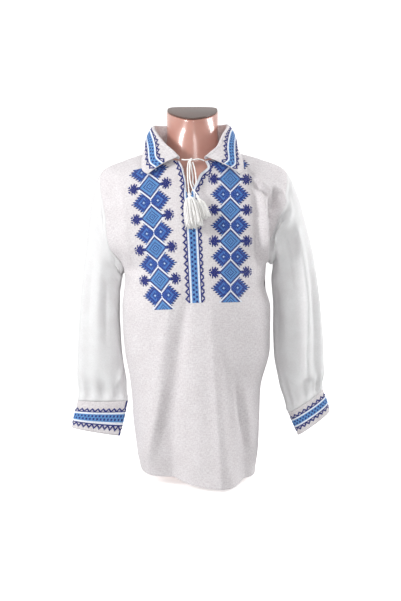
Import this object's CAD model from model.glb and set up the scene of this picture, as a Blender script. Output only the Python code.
"""Embroidered folk shirt on a limbless dress form: its looks, in Blender 4.5.

Metres, +Z up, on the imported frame. The wearer faces -Y, and the wearer's left sleeve is at +X.
"""

import math
import random

import bmesh
import bpy
import numpy as np
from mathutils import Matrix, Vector
from mathutils.bvhtree import BVHTree


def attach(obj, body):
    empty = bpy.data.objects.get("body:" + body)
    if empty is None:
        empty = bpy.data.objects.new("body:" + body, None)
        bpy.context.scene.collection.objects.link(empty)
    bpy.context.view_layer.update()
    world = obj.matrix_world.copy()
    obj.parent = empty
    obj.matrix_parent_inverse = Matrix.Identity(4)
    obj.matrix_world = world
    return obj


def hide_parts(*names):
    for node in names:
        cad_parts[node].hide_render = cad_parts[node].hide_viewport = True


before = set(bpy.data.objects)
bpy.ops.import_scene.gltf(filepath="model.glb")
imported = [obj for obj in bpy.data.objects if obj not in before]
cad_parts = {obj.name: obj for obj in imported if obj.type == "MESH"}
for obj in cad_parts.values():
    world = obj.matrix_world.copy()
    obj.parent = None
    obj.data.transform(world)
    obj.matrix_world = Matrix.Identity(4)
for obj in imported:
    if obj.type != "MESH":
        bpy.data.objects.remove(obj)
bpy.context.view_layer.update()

# ---------------------------------------------------------------- the shirt's sizes
BODY_WALL, COLLAR_WALL, CUFF_WALL, SLEEVE_WALL = 0.0011, 0.0018, 0.0016, 0.0008
SEAM_GAP = 0.0003      # between two sewn pieces
NECK_X = -0.0065
ARMPIT_V = 0.465       # cloth heights up the body, from the hem
SHOULDER_V = 0.685
NECKLINE_V = 0.820
ARMHOLE_REACH = math.radians(27)
ARMHOLE_MIDDLE = (SHOULDER_V + ARMPIT_V) / 2
ARMHOLE_HALF = (SHOULDER_V - ARMPIT_V) / 2
SLIT_V = 0.640
SLEEVE_RADIUS = 0.052  # mean, for lengths round a sleeve
SLEEVE_CUT = 1.2       # how much wider than this its flat cloth is
BODY_SLACK, SLEEVE_SLACK = 0.0012, 0.0014          # how far the slack cloth wanders
CUFF_WAVE, COLLAR_WAVE, COLLAR_BULGE = 0.0009, 0.0014, 0.0036
HEM_LEVELS = (0.0, 0.0012, 0.004, 0.009, 0.0118, 0.0130, 0.0145)   # rows of the turned hem
HEM_STITCHES = 0.0122  # its line of stitching

# How finely each piece is drawn.
RING = 108             # columns round a sleeve
BODY_ROW_COUNT, SHOULDER_ROW_COUNT = 100, 28
HALF_FRONT_COLUMNS, BACK_COLUMNS = 91, 101
SLEEVE_ROW_COUNT = 120
CUFF_COLUMNS, CUFF_ROW_COUNT = 97, 26
COLLAR_COLUMNS = 181
COLLAR_STAND = (0, 0.12, 0.3, 0.5, 0.7, 0.88)    # rows of its stand, as shares of the way up to the roll
COLLAR_ROLL_ROWS, COLLAR_FALL_ROWS = 11, 30
WELD = 1e-5            # corners nearer than this are one

BODY_COLUMNS = ("v", "right", "left", "front", "back", "z_right", "z_left", "z_front", "z_back", "square")
BODY_ROWS = (
    (0.000, 0.124, 0.138, 0.128, 0.120, 0.0330, 0.0150, 0.0120, 0.0160, 2.20),   # hem
    (0.045, 0.131, 0.144, 0.130, 0.123, 0.0600, 0.0560, 0.0560, 0.0580, 2.25),
    (0.120, 0.1415, 0.148, 0.133, 0.126, 0.133, 0.133, 0.133, 0.133, 2.30),
    (0.200, 0.1475, 0.151, 0.135, 0.128, 0.213, 0.213, 0.213, 0.213, 2.30),
    (0.285, 0.161, 0.171, 0.136, 0.130, 0.300, 0.300, 0.300, 0.300, 2.30),       # waist
    (0.375, 0.166, 0.172, 0.136, 0.130, 0.390, 0.390, 0.388, 0.390, 2.30),
    (0.425, 0.162, 0.162, 0.136, 0.129, 0.436, 0.442, 0.440, 0.442, 2.25),
    (0.465, 0.160, 0.166, 0.135, 0.128, 0.470, 0.495, 0.484, 0.486, 2.20),       # armpit
    (0.520, 0.207, 0.203, 0.133, 0.126, 0.528, 0.545, 0.537, 0.542, 2.20),
    (0.585, 0.222, 0.217, 0.127, 0.122, 0.600, 0.603, 0.590, 0.601, 2.15),
    (0.640, 0.227, 0.221, 0.117, 0.114, 0.657, 0.657, 0.635, 0.652, 2.10),
    (0.685, 0.214, 0.208, 0.107, 0.102, 0.7005, 0.7005, 0.665, 0.688, 2.05),     # shoulder tip
    (0.740, 0.160, 0.156, 0.098, 0.087, 0.727, 0.727, 0.693, 0.724, 2.00),
    (0.820, 0.0845, 0.0715, 0.085, 0.068, 0.750, 0.750, 0.7205, 0.761, 2.00),    # neckline
)

# Large hanging folds of the skirt, from their upper to their lower end.
# Columns: x_up, z_up, x_low, z_low, wide_right, wide_left, out_up, out_low.
FOLDS = {
    "front": (
        (0.026, 0.430, 0.060, 0.005, 0.075, 0.044, 0.000, 0.030),
        (-0.050, 0.260, -0.062, 0.005, 0.056, 0.058, 0.000, -0.023),
        (-0.058, 0.400, -0.108, 0.060, 0.030, 0.030, 0.004, 0.010),
        (-0.022, 0.410, -0.062, 0.140, 0.024, 0.028, -0.006, -0.005),
        (0.090, 0.300, 0.112, 0.060, 0.020, 0.016, 0.000, -0.007),
    ),
    "back": (
        (-0.100, 0.480, -0.086, 0.010, 0.034, 0.030, 0.002, 0.018),
        (-0.040, 0.520, -0.030, 0.010, 0.026, 0.030, -0.003, -0.014),
        (0.020, 0.500, 0.030, 0.010, 0.034, 0.028, 0.003, 0.016),
        (0.082, 0.500, 0.086, 0.010, 0.028, 0.028, -0.002, -0.012),
    ),
}
HEM_DIP = 0.2          # how far the hem dips in a fold, as a share of its push
HEM_DIP_REACH = 0.2    # the height at which this has died away

SLIT_COLUMNS = ("v", "x_right", "x_left")
SLIT_ROWS = (
    (0.640, -0.0120, -0.0120),
    (0.665, -0.0175, -0.0080),
    (0.700, -0.0190, 0.0030),
    (0.735, -0.0230, 0.0110),
    (0.775, -0.0270, 0.0270),
    (0.820, -0.0340, 0.0215),
)
SLIT_SPREAD = 0.090
CENTRE_LINE = ((0.0, 0.004), (0.40, 0.003), (0.50, -0.004), (0.640, -0.012), (0.820, -0.007))

SLEEVE_COLUMNS = ("w", "in_x", "in_z", "out_x", "out_z", "mid_y", "front", "back")
SLEEVE_RIGHT = (
    (0.060, -0.1665, 0.460, -0.2370, 0.642, 0.000, 0.056, 0.052),
    (0.120, -0.1695, 0.446, -0.2460, 0.572, 0.002, 0.052, 0.050),
    (0.190, -0.1720, 0.425, -0.2555, 0.492, 0.004, 0.050, 0.048),
    (0.260, -0.1720, 0.385, -0.2625, 0.420, 0.004, 0.048, 0.046),
    (0.330, -0.1700, 0.330, -0.2675, 0.350, 0.002, 0.045, 0.043),
    (0.400, -0.1650, 0.270, -0.2705, 0.280, 0.000, 0.041, 0.038),
    (0.455, -0.1580, 0.222, -0.2710, 0.226, -0.004, 0.031, 0.028),
    (0.505, -0.1530, 0.176, -0.2690, 0.176, -0.008, 0.016, 0.014),
)
SLEEVE_LEFT = (
    (0.060, 0.1780, 0.493, 0.2370, 0.645, 0.002, 0.054, 0.052),
    (0.120, 0.1790, 0.478, 0.2570, 0.575, 0.006, 0.052, 0.050),
    (0.190, 0.1760, 0.450, 0.2750, 0.500, 0.010, 0.050, 0.048),
    (0.260, 0.1790, 0.400, 0.2860, 0.425, 0.012, 0.048, 0.046),
    (0.330, 0.1795, 0.335, 0.2935, 0.350, 0.010, 0.045, 0.043),
    (0.400, 0.1820, 0.275, 0.2965, 0.285, 0.004, 0.041, 0.038),
    (0.460, 0.1950, 0.215, 0.2960, 0.240, -0.002, 0.034, 0.031),
    (0.520, 0.2130, 0.148, 0.2930, 0.202, -0.008, 0.024, 0.020),
)
CUFF_RIGHT = (
    (0.000, -0.1530, 0.1760, -0.2690, 0.1760, -0.008, 0.016, 0.014),
    (0.030, -0.1600, 0.1450, -0.2760, 0.1480, -0.009, 0.015, 0.013),
    (0.062, -0.1715, 0.0960, -0.2830, 0.1150, -0.010, 0.015, 0.013),
)
CUFF_LEFT = (
    (0.000, 0.2130, 0.1480, 0.2930, 0.2020, -0.008, 0.024, 0.020),
    (0.030, 0.2245, 0.1230, 0.3020, 0.1770, -0.010, 0.023, 0.020),
    (0.058, 0.2350, 0.0980, 0.3090, 0.1535, -0.012, 0.023, 0.020),
)

# The collar, for each side, by its share u of the way round from one end to the other. Columns: u, base, roll
# and edge, each of these as (out from the neck's middle, y, z).
COLLAR_SIDES = {
    "right": (
        (0.00, (0.0275, -0.0890, 0.7240), (0.0270, -0.0960, 0.7310), (0.0985, -0.0990, 0.6905)),
        (0.05, (0.0375, -0.0815, 0.7275), (0.0415, -0.0895, 0.7460), (0.1100, -0.0930, 0.6990)),
        (0.12, (0.0520, -0.0700, 0.7320), (0.0585, -0.0800, 0.7610), (0.1130, -0.0800, 0.7220)),
        (0.20, (0.0680, -0.0440, 0.7430), (0.0775, -0.0500, 0.7870), (0.1095, -0.0500, 0.7430)),
        (0.28, (0.0745, -0.0080, 0.7520), (0.0850, -0.0080, 0.8050), (0.1050, 0.0010, 0.7560)),
        (0.38, (0.0600, 0.0400, 0.7620), (0.0720, 0.0460, 0.8120), (0.0960, 0.0620, 0.7560)),
        (0.50, (0.0000, 0.0640, 0.7660), (0.0000, 0.0740, 0.8140), (0.0000, 0.0960, 0.7480)),
    ),
    "left": (
        (0.00, (0.0275, -0.0890, 0.7240), (0.0270, -0.0960, 0.7310), (0.1060, -0.0990, 0.6915)),
        (0.05, (0.0375, -0.0815, 0.7275), (0.0405, -0.0895, 0.7430), (0.1145, -0.0930, 0.6990)),
        (0.12, (0.0510, -0.0700, 0.7320), (0.0545, -0.0800, 0.7560), (0.1135, -0.0800, 0.7230)),
        (0.20, (0.0640, -0.0440, 0.7430), (0.0668, -0.0520, 0.7840), (0.1075, -0.0500, 0.7430)),
        (0.28, (0.0720, -0.0080, 0.7520), (0.0787, -0.0100, 0.8060), (0.1010, -0.0010, 0.7570)),
        (0.38, (0.0600, 0.0400, 0.7620), (0.0700, 0.0460, 0.8140), (0.0940, 0.0620, 0.7560)),
        (0.50, (0.0000, 0.0640, 0.7660), (0.0000, 0.0740, 0.8140), (0.0000, 0.0960, 0.7480)),
    ),
}
ROLL_RADIUS = 0.0046

FORM_COLUMNS = ("v", "half", "front", "back", "z_side", "z_front", "z_back", "square", "square_back",
                "mid_x", "mid_y")
FORM_ROWS = (
    (0.000, 0.085, 0.062, 0.062, 0.000, 0.000, 0.000, 2.2, 2.2, 0.0150, 0.032),     # flat base
    (0.030, 0.096, 0.072, 0.074, 0.030, 0.030, 0.030, 2.2, 2.2, 0.0110, 0.024),
    (0.075, 0.113, 0.085, 0.092, 0.075, 0.075, 0.075, 2.25, 2.25, 0.0040, 0.010),
    (0.140, 0.126, 0.094, 0.100, 0.140, 0.140, 0.140, 2.3, 2.3, 0.0000, 0.000),     # hips
    (0.240, 0.131, 0.094, 0.092, 0.240, 0.240, 0.240, 2.3, 2.3, 0.0000, 0.000),
    (0.340, 0.140, 0.104, 0.097, 0.340, 0.340, 0.340, 2.3, 2.3, 0.0000, 0.000),
    (0.450, 0.148, 0.117, 0.110, 0.450, 0.450, 0.450, 2.3, 2.3, 0.0000, 0.000),     # chest
    (0.530, 0.155, 0.117, 0.110, 0.530, 0.525, 0.530, 2.25, 2.25, -0.002, 0.000),
    (0.600, 0.182, 0.100, 0.108, 0.606, 0.580, 0.594, 2.15, 2.15, -0.004, 0.000),
    (0.650, 0.190, 0.094, 0.104, 0.664, 0.622, 0.646, 2.05, 2.05, -0.004, 0.000),
    (0.695, 0.180, 0.088, 0.096, 0.7055, 0.652, 0.684, 2.0, 2.0, -0.005, 0.000),    # shoulders
    (0.745, 0.140, 0.083, 0.083, 0.7270, 0.682, 0.718, 2.0, 2.0, -0.006, 0.000),
    (0.790, 0.0790, 0.070, 0.069, 0.7400, 0.702, 0.745, 2.0, 2.0, -0.006, 0.002),
    (0.825, 0.0610, 0.059, 0.052, 0.764, 0.722, 0.768, 2.0, 2.1, -0.006, 0.004),    # foot of the neck
    (0.860, 0.0585, 0.060, 0.046, 0.796, 0.762, 0.800, 1.9, 2.5, -0.006, 0.006),
    (0.895, 0.0590, 0.067, 0.038, 0.822, 0.790, 0.834, 1.7, 3.2, -0.006, 0.013),
    (0.920, 0.0592, 0.074, 0.033, 0.841, 0.8116, 0.8544, 1.6, 4.0, -0.006, 0.018),  # cut of the neck
)
CAP_THICK, CAP_GAP = 0.004, 0.0004
CAP_SHARE = 0.985      # of the neck's cut that the cap covers, across

TIE_KNOT = (-0.0090, -0.1060, 0.7215)
TIE_RADIUS = 0.0015
TIE_SIDES, TIE_PLIES, TIE_LAY = 18, 3, 0.006     # its strands turn once in a lay
TIE_ROUTES = {
    "tie_run_right": ((-0.0290, -0.0985, 0.7225), (-0.0220, -0.1035, 0.7215), (-0.0147, -0.1060, 0.7217)),
    "tie_run_left": ((-0.0033, -0.1060, 0.7217), (0.0050, -0.1040, 0.7230), (0.0130, -0.1000, 0.7225),
                     (0.0205, -0.0970, 0.7200)),
    "tie_loop": ((-0.0098, -0.1090, 0.7160), (-0.0074, -0.1120, 0.7010), (-0.0048, -0.1165, 0.6840),
                 (-0.0046, -0.1195, 0.6710), (-0.0010, -0.1210, 0.6640), (0.0024, -0.1195, 0.6710),
                 (0.0016, -0.1165, 0.6860), (-0.0010, -0.1120, 0.7020), (-0.0052, -0.1090, 0.7164)),
    "tie_end_right": ((-0.0142, -0.1080, 0.7166), (-0.0165, -0.1130, 0.7010), (-0.0162, -0.1200, 0.6820),
                      (-0.0144, -0.1270, 0.6640), (-0.0131, -0.1335, 0.6504)),
    "tie_end_left": ((-0.0112, -0.1132, 0.7150), (-0.0120, -0.1185, 0.6970), (-0.0108, -0.1245, 0.6760),
                     (-0.0050, -0.1295, 0.6560), (0.0033, -0.1334, 0.6457)),
}
# Each tassel's top, tip and widest reach, its count of strands, and the seed of their unevenness.
TASSELS = {
    "tassel_right": ((-0.0130, -0.1340, 0.6488), (0.0000, -0.1500, 0.5700), 0.0175, 170, 3),
    "tassel_left": ((0.0040, -0.1335, 0.6440), (0.0240, -0.1400, 0.5900), 0.0105, 110, 8),
}

# ---------------------------------------------------------------- the creases of the cloth
# Columns: the crease's route as (x, z), its half widths towards the wearer's right and left, its height (or
# depth, if negative) at its start, middle and end, and how sharp it is.
BODY_CREASES = {
    "front": (
        # wearer's left shoulder
        (((0.119, 0.697), (0.141, 0.667), (0.160, 0.648)), (0.007, 0.003), (-0.008, -0.0170, -0.010), 1.5),
        (((0.131, 0.690), (0.152, 0.668), (0.168, 0.652)), (0.004, 0.008), (0.002, 0.0060, 0.003), 1.7),
        (((0.122, 0.668), (0.135, 0.640), (0.141, 0.600)), (0.010, 0.008), (-0.004, -0.0100, -0.006), 1.7),
        (((0.150, 0.655), (0.156, 0.615), (0.159, 0.500)), (0.009, 0.004), (0.005, 0.0120, 0.009), 1.6),
        (((0.139, 0.600), (0.140, 0.550), (0.142, 0.485)), (0.009, 0.006), (-0.004, -0.0110, -0.005), 1.7),
        (((0.168, 0.642), (0.171, 0.612), (0.169, 0.590)), (0.005, 0.006), (-0.008, -0.0180, -0.014), 1.7),
        (((0.179, 0.652), (0.186, 0.632), (0.180, 0.604)), (0.008, 0.003), (-0.008, -0.0210, -0.009), 1.6),
        (((0.175, 0.666), (0.193, 0.653), (0.198, 0.632), (0.190, 0.608), (0.174, 0.592)),
         (0.004, 0.006), (0.003, 0.0090, 0.005), 1.7),
        (((0.172, 0.590), (0.173, 0.555), (0.173, 0.505)), (0.005, 0.013), (-0.014, -0.0260, -0.016), 1.7),
        (((0.188, 0.588), (0.188, 0.560), (0.182, 0.530)), (0.012, 0.012), (-0.006, -0.0120, -0.009), 1.9),
        # wearer's right shoulder
        (((-0.182, 0.676), (-0.176, 0.590), (-0.166, 0.500)), (0.014, 0.012), (-0.002, -0.0042, -0.002), 1.8),
        (((-0.160, 0.650), (-0.156, 0.580), (-0.146, 0.492)), (0.011, 0.009), (0.001, 0.0038, 0.002), 1.8),
        (((-0.206, 0.652), (-0.196, 0.634)), (0.004, 0.005), (-0.001, -0.0020, -0.001), 1.6),
        (((-0.202, 0.600), (-0.194, 0.588)), (0.004, 0.005), (-0.001, -0.0018, -0.001), 1.6),
        (((-0.192, 0.505), (-0.162, 0.474)), (0.006, 0.007), (0.001, 0.0030, 0.003), 1.7),
        (((-0.150, 0.470), (-0.110, 0.440)), (0.008, 0.010), (0.002, 0.0022, 0.000), 1.8),
        # skirt
        (((-0.032, 0.395), (-0.040, 0.260), (-0.052, 0.110)), (0.020, 0.016), (-0.001, -0.0042, -0.002), 1.9),
        (((-0.004, 0.400), (0.004, 0.260), (0.010, 0.060)), (0.020, 0.018), (0.000, 0.0036, 0.003), 1.9),
        (((0.034, 0.400), (0.046, 0.200), (0.058, 0.010)), (0.009, 0.012), (0.001, 0.0034, 0.004), 1.5),
        (((0.058, 0.380), (0.072, 0.220), (0.082, 0.050)), (0.014, 0.014), (0.000, -0.0035, -0.002), 1.8),
        (((-0.070, 0.235), (-0.086, 0.150), (-0.102, 0.070)), (0.009, 0.010), (0.001, 0.0048, 0.002), 1.7),
        (((-0.054, 0.210), (-0.070, 0.120), (-0.082, 0.050)), (0.012, 0.012), (0.000, -0.0030, -0.001), 1.8),
        (((0.086, 0.262), (0.099, 0.170), (0.113, 0.080)), (0.008, 0.006), (-0.001, -0.0055, -0.002), 1.6),
        (((0.100, 0.250), (0.116, 0.160), (0.128, 0.080)), (0.008, 0.010), (0.000, 0.0035, 0.001), 1.8),
        (((0.140, 0.442), (0.166, 0.446)), (0.010, 0.012), (-0.001, -0.0030, -0.004), 1.8),
        (((0.118, 0.330), (0.150, 0.372)), (0.014, 0.012), (0.000, 0.0030, 0.002), 1.8),
        (((-0.120, 0.360), (-0.152, 0.400)), (0.014, 0.012), (0.000, 0.0026, 0.002), 1.8),
    ),
    "back": (
        (((-0.165, 0.640), (-0.140, 0.560), (-0.120, 0.420)), (0.014, 0.014), (-0.001, -0.0050, -0.002), 1.8),
        (((0.165, 0.640), (0.142, 0.560), (0.124, 0.420)), (0.014, 0.014), (-0.001, -0.0050, -0.002), 1.8),
        (((-0.120, 0.640), (-0.108, 0.520), (-0.100, 0.380)), (0.014, 0.014), (0.001, 0.0040, 0.001), 1.8),
        (((0.118, 0.640), (0.106, 0.520), (0.098, 0.380)), (0.014, 0.014), (0.001, 0.0040, 0.001), 1.8),
        (((-0.060, 0.620), (-0.052, 0.440), (-0.050, 0.100)), (0.016, 0.016), (0.000, 0.0040, 0.004), 1.8),
        (((0.004, 0.600), (-0.004, 0.400), (-0.006, 0.060)), (0.014, 0.016), (0.000, -0.0036, -0.003), 1.8),
        (((0.060, 0.610), (0.056, 0.420), (0.060, 0.060)), (0.016, 0.014), (0.000, 0.0042, 0.003), 1.8),
    ),
}
# On a sleeve: the same, with each place of the route as degrees round from the sleeve's outer side, by way of
# the front, and the length down it.
SLEEVE_CREASES = {
    "right": (
        (((112, 0.190), (110, 0.280), (112, 0.360)), (0.009, 0.008), (0.001, 0.0042, 0.001), 1.7),
        (((90, 0.120), (88, 0.260), (92, 0.400)), (0.010, 0.010), (0.000, -0.0034, -0.001), 1.8),
        (((66, 0.060), (60, 0.220), (62, 0.420)), (0.012, 0.012), (0.001, 0.0034, 0.002), 1.8),
        (((40, 0.100), (36, 0.260), (40, 0.440)), (0.010, 0.010), (0.000, -0.0032, -0.002), 1.8),
        (((140, 0.150), (138, 0.280), (144, 0.400)), (0.010, 0.010), (0.000, -0.0036, -0.001), 1.8),
        (((168, 0.400), (140, 0.450), (112, 0.490)), (0.007, 0.006), (-0.002, -0.0044, -0.002), 1.6),
        (((150, 0.050), (120, 0.110), (96, 0.170)), (0.010, 0.010), (0.002, 0.0034, 0.000), 1.8),
        (((160, 0.090), (134, 0.150)), (0.008, 0.008), (-0.002, -0.0030, 0.000), 1.8),
        (((210, 0.100), (222, 0.260), (216, 0.430)), (0.012, 0.012), (0.001, 0.0040, 0.002), 1.8),
        (((250, 0.080), (256, 0.240), (250, 0.440)), (0.012, 0.012), (-0.001, -0.0044, -0.002), 1.8),
        (((286, 0.100), (290, 0.260), (288, 0.430)), (0.012, 0.012), (0.001, 0.0040, 0.002), 1.8),
        (((320, 0.080), (322, 0.240), (318, 0.420)), (0.012, 0.012), (-0.001, -0.0034, -0.001), 1.8),
    ),
    "left": (
        (((72, 0.056), (98, 0.038), (128, 0.026)), (0.013, 0.013), (-0.006, -0.0220, -0.014), 1.9),
        (((70, 0.110), (75, 0.280), (81, 0.455)), (0.013, 0.006), (-0.010, -0.0240, -0.010), 1.8),
        (((104, 0.050), (97, 0.220), (96, 0.450)), (0.008, 0.014), (0.005, 0.0100, 0.004), 1.5),
        (((52, 0.160), (52, 0.300), (58, 0.450)), (0.009, 0.010), (0.001, 0.0060, 0.003), 1.7),
        (((126, 0.000), (128, 0.070), (132, 0.160)), (0.010, 0.010), (-0.004, -0.0070, -0.002), 1.7),
        (((122, 0.200), (120, 0.320), (122, 0.440)), (0.009, 0.009), (0.000, -0.0030, -0.001), 1.8),
        (((150, 0.180), (148, 0.300), (146, 0.430)), (0.010, 0.010), (0.000, 0.0034, 0.001), 1.8),
        (((30, 0.120), (28, 0.280), (34, 0.430)), (0.009, 0.009), (0.000, -0.0034, -0.001), 1.8),
        (((110, 0.030), (84, 0.090), (70, 0.160)), (0.009, 0.010), (0.001, 0.0040, 0.001), 1.8),
        (((140, 0.050), (116, 0.110), (96, 0.180)), (0.009, 0.009), (-0.002, -0.0040, -0.001), 1.8),
        (((210, 0.100), (222, 0.260), (216, 0.450)), (0.012, 0.012), (0.001, 0.0044, 0.002), 1.8),
        (((250, 0.080), (256, 0.240), (250, 0.450)), (0.012, 0.012), (-0.001, -0.0050, -0.002), 1.8),
        (((286, 0.100), (290, 0.260), (288, 0.450)), (0.012, 0.012), (0.001, 0.0044, 0.002), 1.8),
        (((320, 0.080), (322, 0.240), (318, 0.430)), (0.012, 0.012), (-0.001, -0.0040, -0.001), 1.8),
    ),
}
GATHERS = {"right": (11, 0.0022, 0.6), "left": (12, 0.0026, 2.0)}   # pleats into a cuff: count, depth, turn


def columns(names, rows):
    """A table's rows as one array for each named column."""
    return {name: np.array([row[k] for row in rows], float) for k, name in enumerate(names)}


def hermite(t, start, leaving, end, arriving):
    """A cubic from start to end at the share t between them, with its slopes as it leaves and arrives."""
    return ((2 * t**3 - 3 * t**2 + 1) * start + (t**3 - 2 * t**2 + t) * leaving
            + (3 * t**2 - 2 * t**3) * end + (t**3 - t**2) * arriving)


def spline(xs, ys, x):
    """Smooth curve through (xs, ys), read at x: its slopes are limited, so that it never overshoots."""
    xs, ys, x = np.asarray(xs, float), np.asarray(ys, float), np.asarray(x, float)
    step, rise = np.diff(xs), np.diff(ys) / np.diff(xs)
    slope = np.empty(len(xs))
    slope[0], slope[-1] = rise[0], rise[-1]
    before, after = rise[:-1], rise[1:]
    mean = (before * step[1:] + after * step[:-1]) / (step[1:] + step[:-1])
    limit = 3 * np.minimum(np.abs(before), np.abs(after))
    slope[1:-1] = np.where(before * after > 0, np.sign(mean) * np.minimum(np.abs(mean), limit), 0)
    k = np.clip(np.searchsorted(xs, x, side="right") - 1, 0, len(xs) - 2)
    t = (np.clip(x, xs[0], xs[-1]) - xs[k]) / step[k]
    return hermite(t, ys[k], step[k] * slope[k], ys[k + 1], step[k] * slope[k + 1])


def run_length(points):
    """How far each point lies along its line, which runs along the first axis."""
    steps = np.linalg.norm(np.diff(points, axis=0), axis=-1)
    return np.concatenate([np.zeros((1, *steps.shape[1:])), np.cumsum(steps, 0)])


def redrawn(along, rings, rows):
    """Each column of some rings, redrawn as a smooth curve and read at new lengths along it."""
    curves = [[spline(along, rings[:, c, axis], rows) for axis in range(3)] for c in range(rings.shape[1])]
    return np.stack(curves).transpose(2, 0, 1)


def power(value, exponent):
    """A signed power, for rows that are rounder or squarer than an ellipse."""
    return np.sign(value) * np.abs(value) ** exponent


def ease(value, low, high):
    """0 below low, 1 above high, and smooth between."""
    t = np.clip((value - low) / (high - low), 0, 1)
    return t * t * (3 - 2 * t)


def unit(vectors):
    """The same directions, one long."""
    return vectors / np.maximum(np.linalg.norm(vectors, axis=-1, keepdims=True), 1e-12)


BODY = columns(BODY_COLUMNS, BODY_ROWS)
FORM = columns(FORM_COLUMNS, FORM_ROWS)
SLIT = columns(SLIT_COLUMNS, SLIT_ROWS)


# ---------------------------------------------------------------- the body of the shirt
def fold_push(x, z, side):
    """How far the skirt's large folds push the front or back outwards."""
    push = np.zeros_like(x)
    for x_up, z_up, x_low, z_low, wide_right, wide_left, out_up, out_low in FOLDS[side]:
        down = np.clip((z_up - z) / (z_up - z_low), 0, 1)
        off = x - (x_up + (x_low - x_up) * down)
        wide = np.where(off < 0, wide_right, wide_left) * (0.55 + 0.45 * down)
        shape = np.exp(-((off / wide) ** 2) * 2)
        push += (out_up + (out_low - out_up) * down**1.2) * shape * ease(z_up - z, -0.06, 0.06)
    return push


def body_point(angle, v):
    """The worn body at a cloth height v and an angle round it, from the wearer's left by way of the front."""
    angle, v = np.broadcast_arrays(np.asarray(angle, float), np.asarray(v, float))
    row = {name: spline(BODY["v"], BODY[name], v) for name in BODY_COLUMNS[1:]}
    across, ahead = np.cos(angle), np.sin(angle)
    round_off = 2 / row["square"]
    front = ahead >= 0
    x = power(across, round_off) * np.where(across > 0, row["left"], row["right"])
    y = -power(ahead, round_off) * np.where(front, row["front"], row["back"])
    side = np.where(across > 0, row["z_left"], row["z_right"])
    middle = np.where(front, row["z_front"], row["z_back"])
    side_mix = side + (row["z_left"] + row["z_right"] - 2 * side) / 2 * (1 - np.abs(across)) ** 2
    z = side_mix + (middle - side_mix) * np.abs(ahead) ** 1.7
    push = np.where(front, fold_push(x, z, "front"), fold_push(x, z, "back")) * np.abs(ahead) ** 0.5
    z = z - HEM_DIP * push * np.clip(1 - v / HEM_DIP_REACH, 0, 1)
    wide = np.where(across > 0, row["left"], row["right"])
    deep = np.where(front, row["front"], row["back"])
    out = unit(np.stack([across / wide, -ahead / deep], -1))
    centre = np.interp(v, *zip(*CENTRE_LINE)) * (1 - np.abs(across) ** 2) * np.where(front, 1.0, 0.3)
    return np.stack([x + out[..., 0] * push + centre, y + out[..., 1] * push, z], -1)


def crease_push(x, z, route, wide, height, sharp):
    """How far a crease moves points outwards: it runs along its route and dies away to its sides."""
    route = np.array(route, float)
    runs = np.linalg.norm(np.diff(route, axis=0), axis=1)
    total, before = runs.sum(), 0.0
    nearest = np.full(x.shape, np.inf)
    side, along = np.zeros(x.shape), np.zeros(x.shape)
    for start, end, run in zip(route[:-1], route[1:], runs):
        dx, dz = (end - start) / run
        t = np.clip((x - start[0]) * dx + (z - start[1]) * dz, 0, run)
        off_x, off_z = x - start[0] - t * dx, z - start[1] - t * dz
        far = np.hypot(off_x, off_z)
        closer = far < nearest
        nearest = np.where(closer, far, nearest)
        side = np.where(closer, off_x, side)
        along = np.where(closer, (before + t) / total, along)
        before += run
    swell = np.interp(along, (0, 0.5, 1), height)
    reach = np.where(side < 0, wide[0], wide[1])
    return swell * np.exp(-((nearest / reach) ** sharp))


def slack(a, b, size):
    """A slow, uneven wander of slack cloth, from a few crossed waves."""
    return size * (np.sin(23 * a + 11 * b + 1.0) * 0.5 + np.sin(-41 * a + 19 * b + 2.3) * 0.35
                   + np.sin(67 * a + 37 * b + 0.4) * 0.22 + np.sin(-97 * a + 71 * b + 4.0) * 0.12)


def body_push(points, side):
    """How far the creases of the front or back move its points outwards."""
    x, z = points[..., 0], points[..., 2]
    push = slack(x, z, BODY_SLACK)
    for route, wide, height, sharp in BODY_CREASES[side]:
        push = push + crease_push(x, z, route, wide, height, sharp)
    on_form = ease(z, 0.655, 0.715)     # the form's shoulders hold the cloth out
    return np.where(push < 0, push * (1 - 0.8 * on_form), push)


def body_surface(angle, v):
    """The creased body and its outward directions, at angles round it and cloth heights."""
    small = 1e-4
    points = body_point(angle, v)
    over = body_point(angle + small, v) - body_point(angle - small, v)
    up = body_point(angle, np.minimum(v + small, NECKLINE_V)) - body_point(angle, np.maximum(v - small, 0))
    out = unit(np.cross(up, over))
    push = np.where(np.sin(angle) >= 0, body_push(points, "front"), body_push(points, "back"))
    return points + out * push[..., None], out


def armhole(psi):
    """Angle and cloth height on the armhole: psi is 0 at the shoulder tip and a quarter turn at the front."""
    return ARMHOLE_REACH * np.sin(psi), ARMHOLE_MIDDLE + ARMHOLE_HALF * np.cos(psi)


def body_levels():
    """Cloth heights of the body's rows, which meet the sleeve's columns along the armhole."""
    seam = [float(armhole(psi)[1]) for psi in np.linspace(math.pi, 0, RING // 2 + 1)]
    return np.array([*HEM_LEVELS, *np.linspace(0.019, ARMPIT_V, BODY_ROW_COUNT)[:-1], *seam,
                     *np.linspace(SHOULDER_V, NECKLINE_V, SHOULDER_ROW_COUNT)[1:]])


def side_angle(v):
    """How far round from the side a row starts: at the side seam, or where the armhole is cut away."""
    return ARMHOLE_REACH * np.sqrt(np.clip(1 - ((v - ARMHOLE_MIDDLE) / ARMHOLE_HALF) ** 2, 0, 1))


def hem_push(v):
    """The turned hem stands a little proud, with its line of stitching drawn in."""
    return 0.0005 * (1 - ease(v, 0.0125, 0.0150)) - 0.0006 * np.exp(-(((v - HEM_STITCHES) / 0.0008) ** 2))


def sew_back(points, column, inner):
    """Moves one edge column of a panel back from its seam by half the gap."""
    points[:, column] += unit(points[:, inner] - points[:, column]) * SEAM_GAP / 2


def cloth_across(points):
    """How far across the cloth each point lies, measured along its row from the first column."""
    return run_length(points.transpose(1, 0, 2)).T


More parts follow.
